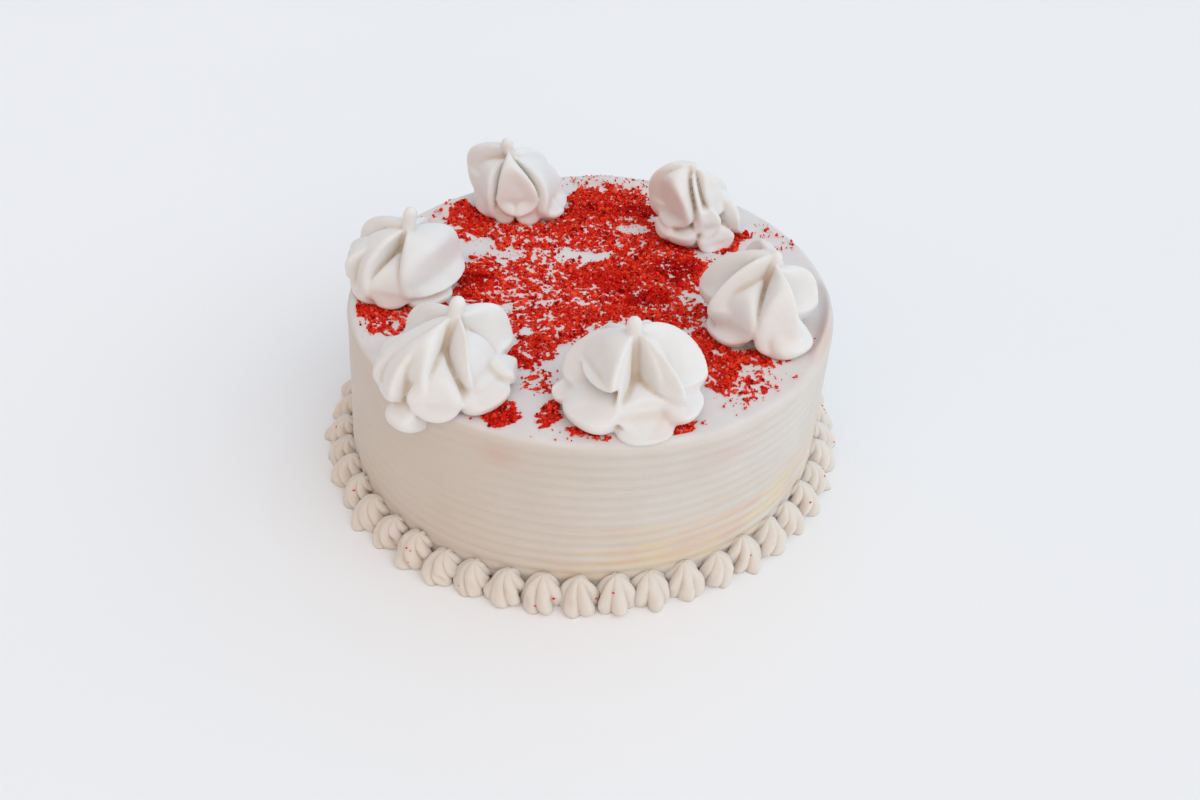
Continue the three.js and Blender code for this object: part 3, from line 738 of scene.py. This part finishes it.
def petal_radius(petal, bearing, height):
    kind, facing, half, reach, foot, belly, top, twist, blunt = petal
    above = np.clip((height - belly) / (top - belly), 0, 1)
    below = np.clip((belly - height) / (belly - foot), 0, 1)
    turned = bearing - np.radians(facing + twist * above)
    aside = np.abs((turned + math.pi) % (2 * math.pi) - math.pi) / math.radians(half)
    dish = min(DISH_MOST, DISH_LEAST + DISH_FLATTEN * (1 - math.cos(math.radians(half))))
    if kind == "disc":
        away = np.hypot(aside, above + below)
        dished = 1 - dish * bowl(away / DISC_BOWL, BOWL_SHARPNESS)
        return reach * bulge(away, blunt + DISC_SQUARE) * dished * (1 - DISC_TAPER * above ** 1.5)
    if kind == "fin":
        edge = FIN_EDGE / half
        sharp = np.clip(1 + edge - np.hypot(aside, edge), 0, 1)
        side = sharp ** (FIN_THIN + FIN_HOLLOW * 4 * above * (1 - above))
    elif kind == "fan":
        rise = np.abs(above - below - FAN_MIDDLE) / (1 - FAN_MIDDLE)
        hollow = bowl(aside / FAN_BOWL, BOWL_SHARPNESS) * bowl(rise, BOWL_SHARPNESS)
        side = bulge(aside, FAN_SQUARE) * (1 - dish * hollow)
    else:
        hollow = bowl(aside / LIP_BOWL, 2) * bowl((above - LIP_MIDDLE) / LIP_HALF, 2)
        side = bulge(aside, LIP_SQUARE) * (1 - LIP_HOLLOW * hollow)
    return reach * side * bulge(above, blunt) * bulge(below, UNDERSIDE_BLUNT)


def swirl_radius(swirl, bearing, height):
    """How far the swirl's skin stands from its middle line; petals meet in creases."""
    climb = np.clip(height / CORE_TOP, 0, 1)
    cone = NUB_RADIUS + CORE_FOOT * (1 - climb) ** 2
    near_tip = np.clip((height - swirl["tip"] + NUB_ROUND) / NUB_ROUND, 0, 1)
    total = (cone * np.sqrt(np.clip(1 - near_tip ** 2, NUB_LEAST, 1))) ** CREASE_SHARPNESS
    for petal in swirl["petals"]:
        total = total + petal_radius(petal, bearing, height) ** CREASE_SHARPNESS
    return total ** (1 / CREASE_SHARPNESS)


def swirl_piece(swirl):
    bearing = np.linspace(-math.pi, math.pi, SWIRL_AROUND, endpoint=False)
    rings = []
    for height in np.linspace(swirl["low"], swirl["tip"], SWIRL_ROWS):
        radius = swirl_radius(swirl, bearing, np.full(SWIRL_AROUND, height))
        lean = float(smooth(LEAN_FROM, swirl["tip"], height))
        rings.append(np.stack([
            swirl["at"][0] + swirl["lean"][0] * lean + radius * np.cos(bearing),
            swirl["at"][1] + swirl["lean"][1] * lean + radius * np.sin(bearing),
            np.full(SWIRL_AROUND, CAKE_HEIGHT + height)], 1))
    faces = ring_faces(SWIRL_ROWS, SWIRL_AROUND)
    piece = new_piece(swirl["name"] + "_cream", np.concatenate(rings), faces, CREAM)
    remesh = piece.modifiers.new("even", "REMESH")
    remesh.mode = "VOXEL"
    remesh.voxel_size = SWIRL_VOXEL * MM
    relax = piece.modifiers.new("relax", "SMOOTH")
    relax.factor = SWIRL_RELAX
    relax.iterations = SWIRL_RELAX_ROUNDS
    apply_modifiers(piece)
    deepen(piece, SWIRL_DEEPEN_ROUNDS, SWIRL_DEEPEN, SWIRL_CREASE_SHADE_REACH)
    paint_red_reflection(piece, swirl)
    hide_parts(swirl["name"])


def paint_red_reflection(piece, swirl):
    """Paints a red reflection on the foot where crumbs lie in front of it."""
    spots = np.array([vertex.co[:] for vertex in piece.data.vertices]) / MM
    dx, dy = spots[:, 0] - swirl["at"][0], spots[:, 1] - swirl["at"][1]
    above = spots[:, 2] - CAKE_HEIGHT
    outward = 1 + RED_REFLECTION_REACH / np.maximum(np.hypot(dx, dy), 1)
    cover = crumb_cover(swirl["at"][0] + dx * outward, swirl["at"][1] + dy * outward)
    low = smooth(RED_REFLECTION_HEIGHT, 1, above) * smooth(-2, 0, above)
    # Painted red reflection, stored as the rosy share
    set_share(piece, "rosy", RED_REFLECTION_SHARE * cover * low)


# Crumbs -----------------------------------------------------------------------------------------

def lump(cuts, rng):
    """A small irregular lump of unit diameter: points and triangles."""
    form = bmesh.new()
    if cuts == 0:
        bmesh.ops.create_uvsphere(form, u_segments=4, v_segments=2, radius=0.5)
    else:
        bmesh.ops.create_icosphere(form, subdivisions=cuts, radius=0.5)
    points = np.array([vertex.co[:] for vertex in form.verts])
    faces = np.array([[vertex.index for vertex in face.verts] for face in form.faces])
    form.free()
    if cuts < 2:
        points *= rng.uniform(0.65, 1.3, (len(points), 1))
    else:
        points *= 1 + 0.5 * lattice_noise(points + rng.uniform(0, 50, 3), 0.3, 5)[:, None]
    return points * (1, rng.uniform(0.65, 0.95), rng.uniform(0.5, 0.8)), faces


def place_crumbs(count, rng):
    """Seeded spots on the top, thick where the patches are, clear of the swirls' feet."""
    kept = []
    while sum(len(spots) for spots in kept) < count:
        spots = rng.uniform(-CRUMB_FIELD, CRUMB_FIELD, (CRUMB_TRIES, 2))
        x, y = spots.T
        chance = crumb_clumps(x, y, crumb_cover(x, y))
        for swirl in SWIRLS:
            dx, dy = x - swirl["at"][0], y - swirl["at"][1]
            foot = swirl_radius(swirl, np.arctan2(dy, dx), np.full(len(x), SWIRL_FOOT_HEIGHT))
            chance = np.where(np.hypot(dx, dy) < foot + SWIRL_FOOT_GAP, 0, chance)
        kept.append(spots[inside_rim(x, y) & (rng.random(len(x)) < chance)])
    return np.concatenate(kept)[:count]


def crumb_piece(name, count, smallest, largest, cuts, seed):
    rng = np.random.default_rng(seed)
    shapes = [lump(cuts, rng) for _ in range(CRUMB_SHAPES)]
    spots = place_crumbs(count, rng)
    across, back = spots.T
    relief = top_relief(across, back)
    thick = smooth(*PILE_COVER, crumb_cover(across, back))
    dark = patch_cover(DARK_PATCHES, across, back, layered_noise(flat_points(across, back), DARK_NOISE))
    points, faces, tones, start = [], [], [], 0
    for (x, y), ground, depth, dim in zip(spots, relief, thick, dark):
        form, triangles = shapes[rng.integers(len(shapes))]
        size = smallest + (largest - smallest) * rng.random() ** CRUMB_FINENESS
        turn = Euler(rng.uniform(0, 2 * math.pi, 3)).to_matrix()
        body = form @ np.array(turn).T * size
        lift = size * rng.uniform(*CRUMB_LIFT) + CRUMB_PILE * depth * rng.random() ** 2
        points.append(body + (x, y, CAKE_HEIGHT + ground + lift))
        faces.append(triangles + start)
        tones.append(np.full(len(form), rng.random() * (1 - CRUMB_DIM * dim)))
        start += len(form)
    piece = new_piece(name, np.concatenate(points), np.concatenate(faces).tolist(), CRUMB)
    piece.data.polygons.foreach_set("use_smooth", [False] * len(piece.data.polygons))
    set_share(piece, "tone", np.concatenate(tones))


# Foot border ------------------------------------------------------------------------------------

def draw(index, channel):
    """A number from 0 to 1 that looks random and is the same on every run."""
    value = math.sin(index * 12.9898 + channel * 78.233 + SEED) * 43758.5453
    return value - math.floor(value)


def spread(base_and_range, share):
    return base_and_range[0] + base_and_range[1] * share


def shell_piece(number):
    girth = SHELL_GIRTH * spread(SHELL_GIRTH_SPREAD, draw(number, 6))
    tall = SHELL_HEIGHT * spread(SHELL_HEIGHT_SPREAD, draw(number, 7))
    sideways = SHELL_SWAY * (draw(number, 8) - SHELL_SWAY_MIDDLE)
    phase = SHELL_PHASE * draw(number, 9)
    facing = 2 * math.pi * number / SHELL_COUNT
    twist = SHELL_TWIST * math.cos(facing - math.radians(SHELL_TWIST_FROM))
    bearing = np.linspace(-math.pi, math.pi, SHELL_AROUND, endpoint=False)
    rings = []
    for climb in np.sin(np.linspace(0, math.pi / 2, SHELL_ROWS)) * SHELL_TOP:
        swell = (1 - climb ** SHELL_BELLY) ** SHELL_BLUNT * (1 - SHELL_TUCK * (1 - climb) ** 8)
        turned = bearing - math.radians(twist * climb + phase)
        ridge = np.abs(np.cos(SHELL_LOBES * turned / 2)) ** SHELL_CREASE_ROUND
        lobe = 1 - SHELL_CREASE * (1 - ridge)
        point = 1 + SHELL_POINT * np.exp(-(bearing / SHELL_POINT_WIDTH) ** 2) * (1 - climb) ** 3
        ripple = np.stack([3 * np.cos(turned), 3 * np.sin(turned),
                           np.full(SHELL_AROUND, 5 * climb + 9 * number)], 1)
        uneven = 1 + SHELL_UNEVEN * lattice_noise(ripple, SHELL_UNEVEN_SIZE, SHELL_UNEVEN_SEED)
        radius = girth * swell * lobe * point * uneven
        out = SHELL_RING - SHELL_LEAN * climb ** 2 + radius * np.cos(bearing) * SHELL_FLAT
        side = sideways * climb ** 1.5 + radius * np.sin(bearing)
        rings.append(np.stack([out * math.cos(facing) - side * math.sin(facing),
                               out * math.sin(facing) + side * math.cos(facing),
                               np.full(SHELL_AROUND, tall * climb)], 1))
    node = f"border_shell_{number + 1:02d}"
    cloud = np.concatenate(rings)
    piece = new_piece(node + "_cream", cloud, ring_faces(SHELL_ROWS, SHELL_AROUND), CREAM)
    # Painted warm reflection, with painted shade stronger towards the back left
    reflection_and_shade = SHELL_PAINTED_REFLECTION - SHELL_PAINTED_SHADE_CHANGE * math.cos(facing + SHELL_PAINTED_SHADE_FROM)
    deepen(piece, SHELL_DEEPEN_ROUNDS, SHELL_DEEPEN, SHELL_CREASE_SHADE_REACH, reflection_and_shade)
    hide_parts(node)
    return cloud


def border_specks(shells):
    """A few stray crumbs caught on the outer sides of the border."""
    rng = np.random.default_rng(SEED + 20)
    points, faces, start = [], [], 0
    for number in rng.choice(len(shells), SPECK_COUNT):
        cloud = shells[number]
        out = np.hypot(cloud[:, 0], cloud[:, 1])
        between = (cloud[:, 2] > SPECK_LOWEST) & (cloud[:, 2] < SPECK_HIGHEST)
        outer = cloud[(out > SHELL_RING + SPECK_OUT) & between]
        form, triangles = lump(1, rng)
        points.append(form * rng.uniform(*SPECK_SIZES) + outer[rng.integers(len(outer))])
        faces.append(triangles + start)
        start += len(form)
    piece = new_piece("crumbs_border", np.concatenate(points), np.concatenate(faces).tolist(), CRUMB)
    set_share(piece, "tone", np.full(start, SPECK_TONE))


# Stage ------------------------------------------------------------------------------------------

def stage():
    floor_material, tree, shade = shader("pale_floor")
    tree.links.new(ramp_node(tree, noise_node(tree, 2, 2), FLOOR_TONES), shade.inputs["Base Color"])
    shade.inputs["Roughness"].default_value = 0.9
    mesh = bpy.data.meshes.new("floor")
    half = FLOOR_HALF
    mesh.from_pydata([(-half, -half, 0), (half, -half, 0), (half, half, 0), (-half, half, 0)], [],
                     [(0, 1, 2, 3)])
    mesh.materials.append(floor_material)
    floor = bpy.data.objects.new("floor", mesh)
    bpy.context.scene.collection.objects.link(floor)


def lights():
    """A soft sky, brightest above and to the right and redder towards the front, and a soft key."""
    world = bpy.data.worlds.new("studio")
    world.use_nodes = True
    tree = world.node_tree
    coordinates = add_node(tree, "ShaderNodeTexCoord")
    blend = add_node(tree, "ShaderNodeCombineColor")
    for base, tilt, channel in zip(SKY_BASE, SKY_TILTS, blend.inputs):
        facing = add_node(tree, "ShaderNodeVectorMath", operation="DOT_PRODUCT")
        tree.links.new(coordinates.outputs["Generated"], facing.inputs[0])
        facing.inputs[1].default_value = tilt
        tree.links.new(math_node(tree, "ADD", facing.outputs["Value"], base), channel)
    tree.links.new(blend.outputs["Color"], tree.nodes["Background"].inputs["Color"])
    bpy.context.scene.world = world
    data = bpy.data.lights.new("key", "SUN")
    data.energy = KEY_STRENGTH
    data.angle = math.radians(KEY_ANGLE)
    data.color = KEY_COLOUR
    key = bpy.data.objects.new("key", data)
    key.rotation_euler = Vector(KEY_SIDE).to_track_quat("Z", "Y").to_euler()
    bpy.context.scene.collection.objects.link(key)


def camera():
    data = bpy.data.cameras.new("camera")
    data.lens = CAMERA_LENS
    data.sensor_width = CAMERA_SENSOR
    view = bpy.data.objects.new("camera", data)
    view.location = CAMERA_PLACE
    view.rotation_euler = Euler([math.radians(angle) for angle in CAMERA_TURN])
    bpy.context.scene.collection.objects.link(view)
    bpy.context.scene.camera = view


cake_body()
for item in SWIRLS:
    swirl_piece(item)
border_specks([shell_piece(number) for number in range(SHELL_COUNT)])
for order, kind in enumerate(CRUMB_KINDS):
    crumb_piece(*kind, seed=SEED + order)
stage()
lights()
camera()
bpy.context.scene.view_settings.view_transform = "Standard"
